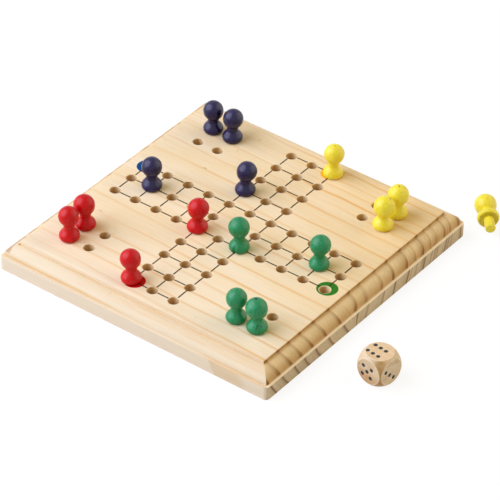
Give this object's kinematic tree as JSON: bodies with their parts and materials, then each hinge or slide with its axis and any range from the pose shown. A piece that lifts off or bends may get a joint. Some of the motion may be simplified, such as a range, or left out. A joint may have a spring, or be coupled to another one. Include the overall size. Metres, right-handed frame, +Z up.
{
  "type": "peg ludo game",
  "caption": "Square wooden peg ludo game: a moulded pine board with blind peg holes, turned pegs painted red, blue, green and yellow, and a rounded wooden die.",
  "frame": {"origin": "centre of the board's underside, on the table", "axes": "+Z up out of the playing face, X along the board's grain, Y across it; the loose peg and the die lie towards +X"},
  "size_m": [0.1985, 0.1855, 0.0328],
  "materials": {
    "pine": "bare sanded pine, fine straight grain along X",
    "die_wood": "bare sanded wood with sunk black pips",
    "red_paint": "turned wood under satin red paint",
    "blue_paint": "turned wood under satin navy blue paint",
    "green_paint": "turned wood under satin green paint",
    "yellow_paint": "turned wood under satin yellow paint"
  },
  "bodies": {
    "board": {"board": "pine"},
    "red_peg_1": {"red_peg_1": "red_paint"},
    "red_peg_2": {"red_peg_2": "red_paint"},
    "red_peg_3": {"red_peg_3": "red_paint"},
    "red_peg_4": {"red_peg_4": "red_paint"},
    "blue_peg_1": {"blue_peg_1": "blue_paint"},
    "blue_peg_2": {"blue_peg_2": "blue_paint"},
    "blue_peg_3": {"blue_peg_3": "blue_paint"},
    "blue_peg_4": {"blue_peg_4": "blue_paint"},
    "green_peg_1": {"green_peg_1": "green_paint"},
    "green_peg_2": {"green_peg_2": "green_paint"},
    "green_peg_3": {"green_peg_3": "green_paint"},
    "green_peg_4": {"green_peg_4": "green_paint"},
    "yellow_peg_1": {"yellow_peg_1": "yellow_paint"},
    "yellow_peg_2": {"yellow_peg_2": "yellow_paint"},
    "yellow_peg_3": {"yellow_peg_3": "yellow_paint"},
    "yellow_peg_4": {"yellow_peg_4": "yellow_paint"},
    "die": {"die": "die_wood"}
  },
  "joints": [
    {"name": "red_peg_1_lift", "type": "slide", "parent": "board", "child": "red_peg_1", "axis": [0, 0, 1], "range_m": [0, 0.03]},
    {"name": "red_peg_2_lift", "type": "slide", "parent": "board", "child": "red_peg_2", "axis": [0, 0, 1], "range_m": [0, 0.03]},
    {"name": "red_peg_3_lift", "type": "slide", "parent": "board", "child": "red_peg_3", "axis": [0, 0, 1], "range_m": [0, 0.03]},
    {"name": "red_peg_4_lift", "type": "slide", "parent": "board", "child": "red_peg_4", "axis": [0, 0, 1], "range_m": [0, 0.03]},
    {"name": "blue_peg_1_lift", "type": "slide", "parent": "board", "child": "blue_peg_1", "axis": [0, 0, 1], "range_m": [0, 0.03]},
    {"name": "blue_peg_2_lift", "type": "slide", "parent": "board", "child": "blue_peg_2", "axis": [0, 0, 1], "range_m": [0, 0.03]},
    {"name": "blue_peg_3_lift", "type": "slide", "parent": "board", "child": "blue_peg_3", "axis": [0, 0, 1], "range_m": [0, 0.03]},
    {"name": "blue_peg_4_lift", "type": "slide", "parent": "board", "child": "blue_peg_4", "axis": [0, 0, 1], "range_m": [0, 0.03]},
    {"name": "green_peg_1_lift", "type": "slide", "parent": "board", "child": "green_peg_1", "axis": [0, 0, 1], "range_m": [0, 0.03]},
    {"name": "green_peg_2_lift", "type": "slide", "parent": "board", "child": "green_peg_2", "axis": [0, 0, 1], "range_m": [0, 0.03]},
    {"name": "green_peg_3_lift", "type": "slide", "parent": "board", "child": "green_peg_3", "axis": [0, 0, 1], "range_m": [0, 0.03]},
    {"name": "green_peg_4_lift", "type": "slide", "parent": "board", "child": "green_peg_4", "axis": [0, 0, 1], "range_m": [0, 0.03]},
    {"name": "yellow_peg_1_lift", "type": "slide", "parent": "board", "child": "yellow_peg_1", "axis": [0, 0, 1], "range_m": [0, 0.03]},
    {"name": "yellow_peg_2_lift", "type": "slide", "parent": "board", "child": "yellow_peg_2", "axis": [0, 0, 1], "range_m": [0, 0.03]},
    {"name": "yellow_peg_3_lift", "type": "slide", "parent": "board", "child": "yellow_peg_3", "axis": [0, 0, 1], "range_m": [0, 0.03]},
    {"name": "yellow_peg_4_lift", "type": "slide", "parent": "board", "child": "yellow_peg_4", "axis": [0, 0, 1], "range_m": [0, 0.04]},
    {"name": "die_lift", "type": "slide", "parent": "board", "child": "die", "axis": [0, 0, 1], "range_m": [0, 0.04]}
  ]
}
